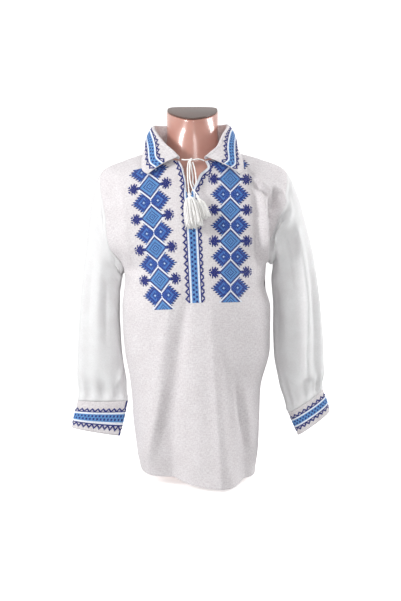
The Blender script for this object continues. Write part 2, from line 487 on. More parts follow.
def front_half(toward):
    """Points and cloth places of one half of the front: toward is +1 for the wearer's left half."""
    levels = body_levels()
    share = np.linspace(0, 1, HALF_FRONT_COLUMNS)
    angle = math.pi / 2 - toward * share[None, :] * (math.pi / 2 - side_angle(levels)[:, None])
    v = np.repeat(levels[:, None], len(share), 1)
    points, out = body_surface(angle, v)
    edge = spline(SLIT["v"], SLIT["x_left" if toward > 0 else "x_right"], v)
    middle = points[:, :1, 0]
    fade = np.clip(1 - np.abs(points[..., 0] - middle) / SLIT_SPREAD, 0, 1) ** 1.5
    points[..., 0] += np.where(v >= SLIT_V - 1e-9, (edge - middle) * fade, 0)
    points += out * hem_push(v)[..., None]
    points[:, 0, 0] += toward * np.where(levels > SLIT_V + 1e-9, SEAM_GAP, 0.0)
    sew_back(points, -1, -2)
    return points, np.stack([toward * cloth_across(points), v], -1)


def back_points():
    """Points and cloth places of the back, from the wearer's right side to the left."""
    levels = body_levels()
    start = side_angle(levels)[:, None]
    share = np.linspace(0, 1, BACK_COLUMNS)
    angle = math.pi + start + share[None, :] * (math.pi - 2 * start)
    v = np.repeat(levels[:, None], len(share), 1)
    points, out = body_surface(angle, v)
    points += out * hem_push(v)[..., None]
    sew_back(points, 0, 1)
    sew_back(points, -1, -2)
    return points, np.stack([cloth_across(points), v], -1)


# ---------------------------------------------------------------- sleeves, cuffs and collar
def ring_points(table, psi):
    """The hanging rings of a sleeve or cuff table, at the angles psi round each."""
    data = columns(SLEEVE_COLUMNS, table)
    inner = np.stack([data["in_x"], data["mid_y"], data["in_z"]], -1)[:, None]
    outer = np.stack([data["out_x"], data["mid_y"], data["out_z"]], -1)[:, None]
    middle, reach = (inner + outer) / 2, (outer - inner) / 2
    depth = np.where(np.sin(psi) >= 0, data["front"][:, None], data["back"][:, None])
    points = middle + reach * np.cos(psi)[None, :, None]
    points[..., 1] -= depth * power(np.sin(psi), 1.1)[None, :]
    return data["w"], points


def grid_out(points, closed):
    """Outward directions of a grid of rows and columns, from its neighbours. The rows run downwards."""
    over = np.gradient(points, axis=1)
    if closed:
        over[:, 0] = over[:, -1] = (points[:, 1] - points[:, -2]) / 2
    return unit(np.cross(np.gradient(points, axis=0), over))


def sleeve_points(table, name, side):
    """A sleeve from its armhole to its cuff seam, creased, with its cloth places."""
    psi = np.linspace(0, 2 * math.pi, RING + 1)
    angle, v = armhole(psi)
    mirrored = angle if side > 0 else math.pi - angle
    loop, _ = body_surface(mirrored, v)
    nudge = 0.002
    inward = unit(np.stack([-angle, ARMHOLE_MIDDLE - v], -1))
    ahead = unit(body_point(mirrored + inward[:, 0] * side * nudge * 6, v + inward[:, 1] * nudge)
                 - body_point(mirrored, v))
    under = np.clip((-np.cos(psi) - 0.35) / 0.5, 0, 1)[:, None]
    outwards_and_down = np.array([side * 0.75, 0.0, -0.66])         # the way that it leaves under the arm
    ahead = unit(ahead * (1 - under) + outwards_and_down * under)
    w, rings = ring_points(table, psi)
    control = np.concatenate([(loop + ahead * SEAM_GAP)[None], (loop + ahead * 0.012)[None], rings])
    along = np.array([0.0, 0.012, *w])
    rows = np.array([0.0, 0.004, 0.008, 0.012, *np.linspace(0.018, w[-1], SLEEVE_ROW_COUNT)])
    points = redrawn(along, control, rows)
    out = grid_out(points, True) * side
    turn, down = np.meshgrid(psi, rows)
    around = turn * SLEEVE_RADIUS
    push = slack(around, down, SLEEVE_SLACK) * np.sin(turn / 2) ** 0.5
    for route, wide, height, sharp in SLEEVE_CREASES[name]:
        route = [(math.radians(degrees) * SLEEVE_RADIUS, length) for degrees, length in route]
        push = push + crease_push(around, down, route, wide, height, sharp)
    count, deep, start = GATHERS[name]
    gather = ease(down, w[-1] - 0.10, w[-1] - 0.012)
    push = push * (1 - 0.5 * gather)
    wave = np.cos(count * turn + start + 0.6 * np.sin(2 * turn))
    push = push + deep * power(wave, 0.7) * gather * (1 - 0.35 * np.sin(3 * turn + start))
    push = push * ease(down, 0.0, 0.020) * (1 - ease(down, w[-1] - 0.010, w[-1]))
    swell = 0.0035 * ease(down, w[-1] - 0.06, w[-1] - 0.022) * (1 - ease(down, w[-1] - 0.020, w[-1]))
    points = points + out * (push + swell)[..., None]
    return points, np.stack([around * SLEEVE_CUT, down], -1)


def cuff_points(table):
    """A cuff, dropped by the seam gap from the sleeve's last ring, with its cloth places."""
    psi = np.linspace(0, 2 * math.pi, CUFF_COLUMNS)
    w, rings = ring_points(table, psi)
    down = unit(rings[-1].mean(0) - rings[0].mean(0))
    rings[0] += down * SEAM_GAP
    levels = np.linspace(0, w[-1], CUFF_ROW_COUNT)
    points = redrawn(w, rings, levels)
    turn, drop = np.meshgrid(psi, levels)
    points[..., 1] += CUFF_WAVE * np.sin(3 * turn + 40 * drop) * ease(drop, 0.0, 0.02)
    return points, np.stack([cloth_across(points), drop], -1)


def collar_line(u, part):
    """A smooth line of the collar, by column, at shares u of its length from the wearer's right end."""
    right = [(row[0], np.multiply(row[part], (-1, 1, 1))) for row in COLLAR_SIDES["right"]]
    left = [(1 - row[0], np.array(row[part])) for row in COLLAR_SIDES["left"][-2::-1]]
    shares = np.array([share for share, _ in right + left])
    points = np.array([point for _, point in right + left])
    return np.stack([spline(shares, points[:, axis], u) for axis in range(3)], -1) + (NECK_X, 0, 0)


def collar_points():
    """The collar: up from the neckline, over its roll and down to its outer edge, with its cloth places."""
    u = np.linspace(0, 1, COLLAR_COLUMNS)
    base, roll, edge = (collar_line(u, part) for part in (1, 2, 3))
    wave = COLLAR_WAVE * np.sin(u * 34 + 0.8) * np.sin(u * math.pi)
    edge = edge + wave[:, None] * np.array([0.3, -1.0, 0.5])
    up = roll - base
    height = np.linalg.norm(up, axis=-1, keepdims=True)
    up /= height
    out = unit(edge - roll)
    radius = np.minimum(ROLL_RADIUS, height * 0.42)
    level = unit(out - up * (out * up).sum(-1, keepdims=True))
    rows = [base + up * (height - radius) * share for share in COLLAR_STAND]
    for turn in np.radians(np.linspace(0, 150, COLLAR_ROLL_ROWS)):
        rows.append(roll - up * radius + radius * (math.sin(turn) * up + (1 - math.cos(turn)) * level))
    start = rows[-1]
    for share in np.linspace(0, 1, COLLAR_FALL_ROWS)[1:]:
        lift = COLLAR_BULGE * math.sin(math.pi * min(share * 1.05, 1)) ** 0.8
        rows.append(start + (edge - start) * share + (up + level) * lift)
    points = np.stack(rows, 0)
    return points, np.stack(np.meshgrid(run_length(edge), run_length(points.mean(1))), -1)


# ---------------------------------------------------------------- the dress form
def form_points():
    """Rings of the dress form, from its base to the slanted flat cut of its neck."""
    levels = np.concatenate([np.linspace(0, 0.69, 48)[:-1], np.linspace(0.69, 0.92, 46)])
    angle = np.linspace(0, 2 * math.pi, 121)
    row = {name: spline(FORM["v"], FORM[name], levels)[:, None] for name in FORM_COLUMNS[1:]}
    across, ahead = np.cos(angle)[None], np.sin(angle)[None]
    round_off = 2 / np.where(ahead >= 0, row["square"], row["square_back"])
    x = row["mid_x"] + power(across, round_off) * row["half"]
    y = row["mid_y"] - power(ahead, round_off) * np.where(ahead >= 0, row["front"], row["back"])
    middle = np.where(ahead >= 0, row["z_front"], row["z_back"])
    z = row["z_side"] + (middle - row["z_side"]) * np.abs(ahead) ** 1.6
    points = np.stack([x, y, z], -1)
    rim = points[-1, :-1]
    fit = np.linalg.lstsq(np.c_[rim[:, :2], np.ones(len(rim))], rim[:, 2], rcond=None)[0]
    cut = points[-1, :, 0] * fit[0] + points[-1, :, 1] * fit[1] + fit[2]
    near = ease(levels, 0.86, 0.92)[:, None]
    points[..., 2] += near * (cut - points[-1, :, 2])[None]
    return points


# ---------------------------------------------------------------- Blender building
def linear(hex_colour):
    """An sRGB colour such as "#1f3a8c" as the linear numbers that shaders take."""
    channels = [int(hex_colour[k:k + 2], 16) / 255 for k in (1, 3, 5)]
    return (*[c / 12.92 if c <= 0.04045 else ((c + 0.055) / 1.055) ** 2.4 for c in channels], 1.0)


def new_object(name, mesh, material=None, replaces=()):
    """Puts a finished mesh in the scene, on the body and the CAD nodes that it stands for."""
    made = bpy.data.objects.new(name, mesh)
    bpy.context.scene.collection.objects.link(made)
    if material:
        mesh.materials.append(material)
    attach(made, "root")
    if replaces:
        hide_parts(*replaces)
    return made


def smooth_mesh(bm, name):
    """The finished bmesh as a smooth-shaded mesh."""
    mesh = bpy.data.meshes.new(name)
    bm.to_mesh(mesh)
    bm.free()
    mesh.shade_smooth()
    return mesh


def add_grid(bm, points, places=None):
    """Lays a grid in the bmesh with its corners at the points, and their places on the cloth as its UVs."""
    rows, across = points.shape[:2]
    made = bmesh.ops.create_grid(bm, x_segments=across - 1, y_segments=rows - 1, size=1.0)["verts"]
    spots = {}
    for vert in made:
        spot = (round((vert.co.y + 1) / 2 * (rows - 1)), round((vert.co.x + 1) / 2 * (across - 1)))
        spots[vert] = spot
        vert.co = Vector(points[spot])
    if places is not None:
        layer = bm.loops.layers.uv.verify()
        for face in {face for vert in made for face in vert.link_faces}:
            for loop in face.loops:
                loop[layer].uv = places[spots[loop.vert]]


def cloth_mesh(name, grids, outward):
    """A cloth surface: grids welded where they meet, facing the way that outward gives for its places."""
    bm = bmesh.new()
    for points, places in grids:
        add_grid(bm, points, places)
    bmesh.ops.remove_doubles(bm, verts=bm.verts, dist=WELD)
    bmesh.ops.recalc_face_normals(bm, faces=bm.faces)
    if sum(face.normal.dot(outward(face.calc_center_median())) for face in list(bm.faces)[::7]) < 0:
        bmesh.ops.reverse_faces(bm, faces=bm.faces)
    return smooth_mesh(bm, name)


def tree_of(mesh):
    """The mesh as it stands, to find places on its outer surface."""
    corners = [vert.co.copy() for vert in mesh.vertices]
    return BVHTree.FromPolygons(corners, [tuple(face.vertices) for face in mesh.polygons])


def wall(obj, thick):
    """Gives a cloth surface its thickness, inwards."""
    made = obj.modifiers.new("wall", "SOLIDIFY")
    made.thickness = thick
    made.offset = -1.0
    made.use_even_offset = False


def thread_mesh(name, bars):
    """Raised threads over the cloth, each a bar of (start, end, outward, half width, height, material).

    There are thousands, too many for an operator each, so their corners are worked out together: three rings
    of four.
    """
    start, end, out = (np.array([bar[k] for bar in bars]) for k in range(3))
    half, high = (np.array([bar[k] for bar in bars])[:, None] for k in (3, 4))
    out = unit(out)
    side = unit(np.cross(out, unit(end - start))) * half
    rings = []
    for centre, lift, wide in ((start, 0.25, 0.7), ((start + end) / 2, 1.0, 1.0), (end, 0.25, 0.7)):
        rings += [centre + side * wide * across + out * high * lift * up
                  for across, up in ((-1, 0), (-0.55, 0.85), (0.55, 0.85), (1, 0))]
    points = np.stack(rings, 1).reshape(-1, 3)
    quads = np.array([(4 * ring + k, 4 * ring + k + 1, 4 * ring + k + 5, 4 * ring + k + 4)
                      for ring in range(2) for k in range(3)])
    faces = (quads[None] + 12 * np.arange(len(bars))[:, None, None]).reshape(-1, 4)
    mesh = bpy.data.meshes.new(name)
    mesh.from_pydata(points, [], faces)
    for finish in THREADS.values():
        mesh.materials.append(finish)
    mesh.polygons.foreach_set("material_index", np.repeat([bar[5] for bar in bars], len(quads)))
    mesh.shade_smooth()
    return mesh


# ---------------------------------------------------------------- materials
WAVE_TURN = 0.314      # a wave texture has one band in this / its scale


def node(tree, kind, inputs=None, stops=(), **settings):
    """Adds a shader node with its settings, a ramp's two (place, colour) stops, and its inputs, which are
    numbers, colours or other nodes' outputs.
    """
    made = tree.nodes.new(kind)
    for name, value in settings.items():
        setattr(made, name, value)
    for k, (place, colour) in enumerate(stops):
        made.color_ramp.elements[k].position = place
        made.color_ramp.elements[k].color = colour
    for name, value in (inputs or {}).items():
        if isinstance(value, bpy.types.NodeSocket):
            tree.links.new(value, made.inputs[name])
        else:
            made.inputs[name].default_value = value
    return made


def blank_material(name):
    """A material with only its output node."""
    made = bpy.data.materials.new(name)
    made.use_nodes = True
    tree = made.node_tree
    tree.nodes.clear()
    return made, tree, tree.nodes.new("ShaderNodeOutputMaterial")


def woven_cloth(name, light, shade, pitch, slub, slub_size, through, sheen):
    """Plain-woven white cloth: threads one pitch apart, uneven slubs along them, and light coming through."""
    made, tree, output = blank_material(name)
    place = node(tree, "ShaderNodeUVMap").outputs["UV"]
    threads = [node(tree, "ShaderNodeTexWave", {"Vector": place, "Scale": WAVE_TURN / pitch,
                                                "Distortion": 1.2, "Detail": 1.0, "Detail Scale": 0.6},
                    bands_direction=way) for way in ("X", "Y")]
    weave = node(tree, "ShaderNodeMath", {k: thread.outputs["Fac"] for k, thread in enumerate(threads)},
                 operation="MAXIMUM")
    uneven = []
    for u, v in ((0.30, 1.0), (1.0, 0.38)):     # drawn out along the weft, and along the warp
        drawn = node(tree, "ShaderNodeMapping", {"Vector": place,
                                                 "Scale": (u / slub_size, v / slub_size, 1.0)})
        uneven.append(node(tree, "ShaderNodeTexNoise", {"Vector": drawn.outputs["Vector"], "Scale": 1.0,
                                                        "Detail": 2.0, "Roughness": 0.7}))
    slubs = node(tree, "ShaderNodeMath", {k: noise.outputs["Fac"] for k, noise in enumerate(uneven)},
                 operation="ADD")
    tone = node(tree, "ShaderNodeMath", {0: slubs.outputs[0], 1: 0.5, 2: -0.02}, operation="MULTIPLY_ADD")
    thread = node(tree, "ShaderNodeValToRGB", {"Fac": tone.outputs[0]},
                  stops=((0.34, linear(shade)), (0.62, linear(light))))
    blotch = node(tree, "ShaderNodeTexNoise", {"Vector": place, "Scale": 28.0, "Detail": 2.0})     # 36 mm
    dull = node(tree, "ShaderNodeValToRGB", {"Fac": blotch.outputs["Fac"]},
                stops=((0.35, linear("#fbfafa")), (0.65, linear("#ffffff"))))
    colour = node(tree, "ShaderNodeMix", {0: 1.0, 6: thread.outputs["Color"], 7: dull.outputs["Color"]},
                  data_type="RGBA", blend_type="MULTIPLY").outputs[2]
    fine = node(tree, "ShaderNodeBump", {"Height": weave.outputs[0], "Strength": 0.35, "Distance": pitch / 2})
    rough = node(tree, "ShaderNodeBump", {"Height": slubs.outputs[0], "Strength": slub, "Distance": 0.0009,
                                          "Normal": fine.outputs["Normal"]}).outputs["Normal"]
    cloth = node(tree, "ShaderNodeBsdfPrincipled", {"Base Color": colour, "Roughness": 0.88,
                                                    "Sheen Weight": sheen, "Sheen Roughness": 0.5,
                                                    "Specular IOR Level": 0.25, "Normal": rough})
    behind = node(tree, "ShaderNodeBsdfTranslucent", {"Color": colour, "Normal": rough})
    both = node(tree, "ShaderNodeMixShader", {0: through, 1: cloth.outputs[0], 2: behind.outputs[0]})
    tree.links.new(both.outputs[0], output.inputs["Surface"])
    return made


def cotton_thread(name, colour, dark, gloss=0.4):
    """Stranded cotton: a soft gloss, the ridges of its twist, and a shade that varies between stitches."""
    made, tree, output = blank_material(name)
    place = node(tree, "ShaderNodeTexCoord").outputs["Object"]
    shift = node(tree, "ShaderNodeTexNoise", {"Vector": place, "Scale": 420.0, "Detail": 1.0})     # 2.4 mm
    tone = node(tree, "ShaderNodeValToRGB", {"Fac": shift.outputs["Fac"]},
                stops=((0.34, linear(dark)), (0.62, linear(colour))))
    ply = node(tree, "ShaderNodeTexWave", {"Vector": place, "Scale": 900.0, "Distortion": 2.0})    # 0.35 mm
    bump = node(tree, "ShaderNodeBump", {"Height": ply.outputs["Fac"], "Strength": 0.3, "Distance": 0.0002})
    thread = node(tree, "ShaderNodeBsdfPrincipled", {"Base Color": tone.outputs["Color"],
                                                     "Roughness": 1.0 - gloss,
                                                     "Sheen Weight": 0.15, "Specular IOR Level": 0.4,
                                                     "Normal": bump.outputs["Normal"]})
    tree.links.new(thread.outputs[0], output.inputs["Surface"])
    return made


def moulded_plastic(name, light, dark, roughness, coat):
    """Blow-moulded display-form plastic: glossy paint over a very slightly uneven shell."""
    made, tree, output = blank_material(name)
    place = node(tree, "ShaderNodeTexCoord").outputs["Object"]
    cloud = node(tree, "ShaderNodeTexNoise", {"Vector": place, "Scale": 9.0, "Detail": 3.0})     # 110 mm
    tone = node(tree, "ShaderNodeValToRGB", {"Fac": cloud.outputs["Fac"]},
                stops=((0.35, linear(dark)), (0.65, linear(light))))
    skin = node(tree, "ShaderNodeTexNoise", {"Vector": place, "Scale": 55.0, "Detail": 2.0})     # 18 mm
    bump = node(tree, "ShaderNodeBump", {"Height": skin.outputs["Fac"], "Strength": 0.10, "Distance": 0.001})
    smear = node(tree, "ShaderNodeMath", {0: cloud.outputs["Fac"], 1: 0.10, 2: roughness - 0.05},
                 operation="MULTIPLY_ADD")
    shell = node(tree, "ShaderNodeBsdfPrincipled", {"Base Color": tone.outputs["Color"],
                                                    "Roughness": smear.outputs[0],
                                                    "Coat Weight": coat, "Coat Roughness": 0.12,
                                                    "Subsurface Weight": 0.05, "Subsurface Scale": 0.004,
                                                    "Normal": bump.outputs["Normal"]})
    tree.links.new(shell.outputs[0], output.inputs["Surface"])
    return made


# Hand-woven white linen of the body, collar and cuffs: thick, uneven threads with a warm grey shade. They are
# drawn 1.1 mm apart, with slubs 2.3 mm wide, about twice their real sizes, so that they show.
linen = woven_cloth("homespun_linen", "#f5f2f3", "#d9d3d6", 0.0011, 0.66, 0.0023, 0.06, 0.10)
# Finer, cooler and thinner cotton of the sleeves, with a thread every 0.6 mm.
cotton = woven_cloth("sleeve_cotton", "#fafafb", "#f1f2f2", 0.0006, 0.22, 0.0020, 0.16, 0.08)
# Embroidery cottons by their letters in the charts: n navy, r royal, m mid, l light and w white.
THREADS = {
    "n": cotton_thread("navy_thread", "#242f80", "#1a2264"),
    "r": cotton_thread("royal_blue_thread", "#2c55a8", "#21418c"),
    "m": cotton_thread("mid_blue_thread", "#4a7cc4", "#3c6cb4"),
    "l": cotton_thread("light_blue_thread", "#629ad2", "#5288c4"),
    "w": cotton_thread("white_thread", "#f2f5fb", "#dfe6f2"),
}
# White twisted cotton of the tie and its tassels, warmer in its shade and duller.
tie_cotton = cotton_thread("tie_cotton", "#ffffff", "#f6f3ee", 0.2)
# The form's glossy flesh-pink plastic, and the duller brown plate on its neck.
plastic = moulded_plastic("flesh_pink_plastic", "#cc9a8c", "#b98274", 0.30, 0.55)
cap_plastic = moulded_plastic("brown_cap_plastic", "#5f4338", "#4f382f", 0.42, 0.10)

# ---------------------------------------------------------------- cloth pieces
def from_axis(p):
    """Outwards for the front and back: away from the body's upright axis."""
    return Vector((p.x, p.y, 0))


front_mesh = cloth_mesh("front", [front_half(1), front_half(-1)], from_axis)
front_tree = tree_of(front_mesh)
front = new_object("shirt_front", front_mesh, linen, ["front"])
back = new_object("shirt_back", cloth_mesh("back", [back_points()], from_axis), linen, ["back"])
collar_grid, collar_places = collar_points()
neck = Vector((NECK_X, 0, 0.70))
collar_mesh = cloth_mesh("collar", [(collar_grid, collar_places)], lambda p: p - neck)
collar = new_object("shirt_collar", collar_mesh, linen, ["collar"])
wall(front, BODY_WALL)
wall(back, BODY_WALL)
wall(collar, COLLAR_WALL)

sleeves, cuffs, cuff_trees = {}, {}, {}
for name, sleeve_table, cuff_table, side in (("left", SLEEVE_LEFT, CUFF_LEFT, 1),
                                             ("right", SLEEVE_RIGHT, CUFF_RIGHT, -1)):
    points, places = sleeve_points(sleeve_table, name, side)
    line = points.mean(1)

    def from_arm(p, line=line):
        return p - Vector(line[np.argmin(np.linalg.norm(line - np.array(p), axis=1))])

    sleeve_mesh = cloth_mesh("sleeve", [(points, places)], from_arm)
    sleeves[name] = new_object("sleeve_" + name + "_cloth", sleeve_mesh, cotton, ["sleeve_" + name])
    wall(sleeves[name], SLEEVE_WALL)
    points, places = cuff_points(cuff_table)
    wrist = Vector(points.mean((0, 1)))
    cuff_mesh = cloth_mesh("cuff", [(points, places)], lambda p, wrist=wrist: p - wrist)
    cuff_trees[name] = tree_of(cuff_mesh)
    cuffs[name] = new_object("cuff_" + name + "_cloth", cuff_mesh, linen, ["cuff_" + name])
    wall(cuffs[name], CUFF_WALL)

# ---------------------------------------------------------------- the dress form and its cap
rings = form_points()
bm = bmesh.new()
add_grid(bm, rings)
bmesh.ops.remove_doubles(bm, verts=bm.verts, dist=WELD)
open_edges = [edge for edge in bm.edges if edge.is_boundary]
for at_base in (True, False):
    ring = [edge for edge in open_edges if (edge.verts[0].co.z < 0.4) == at_base]
    bmesh.ops.contextual_create(bm, geom=ring)
bmesh.ops.recalc_face_normals(bm, faces=bm.faces)
form = new_object("dress_form", smooth_mesh(bm, "form"), plastic, ["form"])
edge_round = form.modifiers.new("rounded_edges", "BEVEL")
edge_round.width = 0.0022
edge_round.segments = 3
edge_round.limit_method = "ANGLE"
edge_round.angle_limit = math.radians(40)

# The cap is the neck's own cut, a little smaller and just clear of it, raised by its thickness.
rim = rings[-1, :-1]
middle = rim.mean(0)
cut_up = Vector(np.cross(rim[0] - middle, rim[len(rim) // 4] - middle)).normalized()
cut_up = cut_up if cut_up.z > 0 else -cut_up
bm = bmesh.new()
low = [bm.verts.new(Vector(middle + (p - middle) * CAP_SHARE) + cut_up * CAP_GAP) for p in rim]
plate = bm.faces.new(low)
raised = bmesh.ops.extrude_face_region(bm, geom=[plate])["geom"]
raised = [found for found in raised if isinstance(found, bmesh.types.BMVert)]
bmesh.ops.translate(bm, vec=cut_up * CAP_THICK, verts=raised)
bmesh.ops.recalc_face_normals(bm, faces=bm.faces)
sharp = [edge for edge in bm.edges if edge.calc_face_angle(0) > 1.0]
bmesh.ops.bevel(bm, geom=sharp, offset=0.0014, segments=4, profile=0.5, affect="EDGES", material=-1)
new_object("form_neck_cap", smooth_mesh(bm, "neck_cap"), cap_plastic, ["neck_cap"])

# ---------------------------------------------------------------- embroidery
# The columns' motif, as a quarter of it: from a diamond's centre outwards (columns) and up to the crossing
# (rows). The letters are those of THREADS, and . is bare cloth.
CELL = (0.00227, 0.00229)      # one cross-stitch of the columns: across and along
MOTIF = 30                     # its rows from one diamond's centre to the next
DIAMOND = "nllnllnlllnnww"     # its rings, from the centre outwards
LOBE = "wlnrmmrnrmmrnnr"       # a lobe's rings, from its eye outwards
LOBE_EYE = 7                   # the eye's column
LOBE_REACH, LOBE_ROWS = 19, 10     # its farthest column, and its rows each way from the crossing
LEAF_FROM = 11                 # the leaf's first column
LEAF = ("rnnnnnnnnnn", "nnnnnnnnn..", "...nnnnn.nn", "..nnnnnn.n.", "..n.nn.n...", "....n..n...")
# Narrow borders: teeth outwards, a navy and two white lines, and a light band with staggered dark dots.
BAND_WIDE = 21
TEETH = ("...n..", "..nnn.", ".nn.nn", "nn...n")
LINES = "nww"
DOTS_FROM, DOTS_TO, DOTS_EVERY = 8, 9, 4
COLUMN_THREAD, BORDER_THREAD = 0.00084, 0.00082     # half the width of one arm of a stitch
UNDER_ARM, UPPER_ARM = 0.0006, 0.0008               # how high a stitch's two arms stand
CLEAR = 0.00025                # of the stitches over the cloth


def diamond_colour(column, row):
    """The stitch colour of the columns' motif, by whole cells from a diamond's centre."""
    column, row = abs(column), abs((row + MOTIF // 2) % MOTIF - MOTIF // 2)
    if column >= LEAF_FROM and row < len(LEAF):
        kind = (LEAF[row] + "." * MOTIF)[column - LEAF_FROM]
        if kind != "." or column + row >= len(DIAMOND):
            return None if kind == "." else kind
    if column + row < len(DIAMOND):
        return DIAMOND[column + row]
    across = MOTIF // 2 - row
    if column == 0:
        return "rw"[row % 2 == 0]
    edge = LOBE_REACH - across - 2 * (across % 2)
    if across > LOBE_ROWS or column > edge:
        return None
    if column >= edge - 1 or column + row == len(DIAMOND):
        return "n"
    return "r" if column < LOBE_EYE - 1 else LOBE[abs(column - LOBE_EYE) + across]


def band_colour(column, row):
    """The stitch colour of a narrow border, by column across it and row along it."""
    inward = min(column, BAND_WIDE - 1 - column)
    if inward < len(TEETH):
        kind = TEETH[inward][row % len(TEETH[inward])]
        return None if kind == "." else kind
    if inward < len(TEETH) + len(LINES):
        return LINES[inward - len(TEETH)]
    stagger = DOTS_EVERY // 2 * (column < BAND_WIDE // 2)
    dark = DOTS_FROM <= inward <= DOTS_TO and (row + stagger) % DOTS_EVERY < DOTS_EVERY // 2
    return "n" if dark else "l"


def cross_stitches(corner, place, columns_from_to, rows_from_to, colour_of, wide):
    """Cross-stitches over a chart: corner(i, j) is a cell corner's rough place, and place finds the cloth."""
    known, letters, bars = {}, list(THREADS), []
    for i in range(*columns_from_to):
        for j in range(*rows_from_to):
            kind = colour_of(i, j)
            if kind is None:
                continue
            spots = ((i, j), (i + 1, j + 1), (i + 1, j), (i, j + 1))
            for spot in spots:
                if spot not in known:
                    known[spot] = place(corner(*spot))
            found = [known[spot] for spot in spots]
            if None in found:
                continue
            out = sum(outward for _, outward in found)
            for (start, _), (end, _), high in ((*found[:2], UNDER_ARM), (*found[2:], UPPER_ARM)):
                bars.append((start, end, out, wide, high, letters.index(kind)))
    return bars


def embroidery(name, bars):
    """A piece of embroidery, from its threads."""
    return new_object(name, thread_mesh(name, bars))


def on_face(hit, out):
    """A place just clear of a piece's outer face, and the way out from it."""
    return np.array(hit + out * CLEAR), np.array(out)


def onto_front(rough):
    """The place on the front's outer face that lies straight behind (x, z)."""
    hit, out, _, _ = front_tree.ray_cast(Vector((rough[0], -0.5, rough[1])), Vector((0, 1, 0)))
    return None if hit is None else on_face(hit, out)


COLUMN_WIDE = (-21, 22)        # its columns, from and to
COLUMN_FOOT = -28              # its first row
COLUMN_TOP = 90                # the row that its slant and its taper are given for
BOW_ROWS = 100                 # over which it bows
LEAF_CUT = (12, -24)           # a column's foot has no leaves: none past this column below this row


def column_corner(foot, rise, lean, bow, taper):
    """Corner places of a diamond column, up from its lowest diamond's centre: lean holds the ways that its
    stitches lean at the foot and at the top, and taper how much narrower its foot is.
    """
    def corner(i, j):
        along = (j - 0.5) * CELL[1]
        wide = (i - 0.5) * CELL[0] * (1 - taper * (1 - j / COLUMN_TOP))
        slant = lean[0] + (lean[1] - lean[0]) * j / COLUMN_TOP
        return (foot[0] + wide * math.cos(slant) + along * rise[0] - bow * math.sin(math.pi * j / BOW_ROWS),
                foot[1] + wide * math.sin(slant) + along * rise[1])
    return corner


def column_motif(i, j):
    """The diamond motif, without the leaves that the lower end of a column cuts off."""
    return None if abs(i) > LEAF_CUT[0] and j < LEAF_CUT[1] else diamond_colour(i, j)


# A column's foot, its rise, its stitches' lean at foot and top, its bow, its taper and its last row.
COLUMNS = {
    "right": ((-0.0768, 0.4586), (-0.109, 0.9925), (0.09, 0.19), 0.0018, 0.06, 110),
    "left": ((0.0777, 0.4747), (0.0, 0.993), (0.0, 0.0), 0.0, 0.03, 114),
}
column_stitches = [
    embroidery("front_embroidery_" + name, cross_stitches(
        column_corner(*shape), onto_front, COLUMN_WIDE, (COLUMN_FOOT, last), column_motif, COLUMN_THREAD))
    for name, (*shape, last) in COLUMNS.items()]

PLACKET_CELL = (0.00212, 0.00256)
PLACKET_LINE = ((0.4090, 0.0008), (0.559, -0.0064), (0.6345, -0.0120))     # height and place below the slit
FOLDED_IN = 3                  # cells of the border that the open slit's edge turns in
slit_v = np.linspace(SLIT_V, 0.818, 40)
slit_z = spline(BODY["v"], BODY["z_front"], slit_v)


def placket_corner(name, toward):
    """Corner places of one half of the placket's border, out from the slit's edge, and its folded cells."""
    heights = np.linspace(PLACKET_LINE[0][0], 0.728, 400)
    below = np.interp(heights, *zip(*PLACKET_LINE))
    edge = np.interp(heights, slit_z, spline(SLIT["v"], SLIT[name], slit_v))
    line = np.stack([np.where(heights > slit_z[0], edge, below), heights], -1)
    along = run_length(line)
    opened = FOLDED_IN * ease(heights, slit_z[0], slit_z[0] + 0.03)

    def folded(j):
        return float(np.interp(j * PLACKET_CELL[1], along, opened))

    def at_length(at):
        return np.array([np.interp(at, along, line[:, axis]) for axis in range(2)])

    def corner(i, j):
        at = j * PLACKET_CELL[1]
        ahead = at_length(at + 0.006) - at_length(at - 0.006)
        across = np.array([ahead[1], -ahead[0]]) / np.hypot(*ahead)
        return at_length(at) + toward * across * (i - folded(j)) * PLACKET_CELL[0]

    return corner, folded, int(along[-1] / PLACKET_CELL[1])


placket = []
for name, toward in (("x_right", -1), ("x_left", 1)):
    corner, folded, count = placket_corner(name, toward)

    def half_border(i, j, toward=toward, folded=folded):
        column = BAND_WIDE // 2 - 1 - i if toward < 0 else BAND_WIDE // 2 + i
        return None if i < folded(j) - 0.1 else band_colour(column, j)

    placket += cross_stitches(corner, onto_front, (0, BAND_WIDE // 2), (0, count), half_border, COLUMN_THREAD)
placket_stitches = embroidery("placket_embroidery", placket)


def onto(tree):
    """Finds the nearest place on a piece's outer face."""
    return lambda rough: on_face(*tree.find_nearest(Vector(rough))[:2])


# The collar's border runs along its outer edge, on the fall: the grid's rows from its roll on.
BORDER_CELL = (0.0019, 0.00215)
COLLAR_MARGIN = 0.0130         # from the collar's edge to the border
fall = collar_grid[len(COLLAR_STAND) + COLLAR_ROLL_ROWS - 1:]
fall_length = run_length(fall)
BORDER_ROW = 22                # the fall's row along the border's middle
border_along = run_length(fall[BORDER_ROW])


def collar_corner(i, j):
    """Corner places of the collar's border: i cells in from its margin, j from the wearer's right end."""
    column = np.interp(j * BORDER_CELL[1] + 0.001, border_along, np.arange(len(border_along)))
    k = min(int(column), fall.shape[1] - 2)
    t = column - k
    spots = []
    for c in (k, k + 1):
        length = fall_length[:, c]
        at = length[-1] - COLLAR_MARGIN - i * BORDER_CELL[0]
        spots.append(np.array([np.interp(at, length, fall[:, c, axis]) for axis in range(3)]))
    return spots[0] * (1 - t) + spots[1] * t


fall_rows, fall_columns = fall.shape[:2]
collar_tree = BVHTree.FromPolygons([Vector(p) for p in fall.reshape(-1, 3)], [
    (k, k + 1, k + 1 + fall_columns, k + fall_columns)
    for row in range(fall_rows - 1) for k in range(row * fall_columns, (row + 1) * fall_columns - 1)])


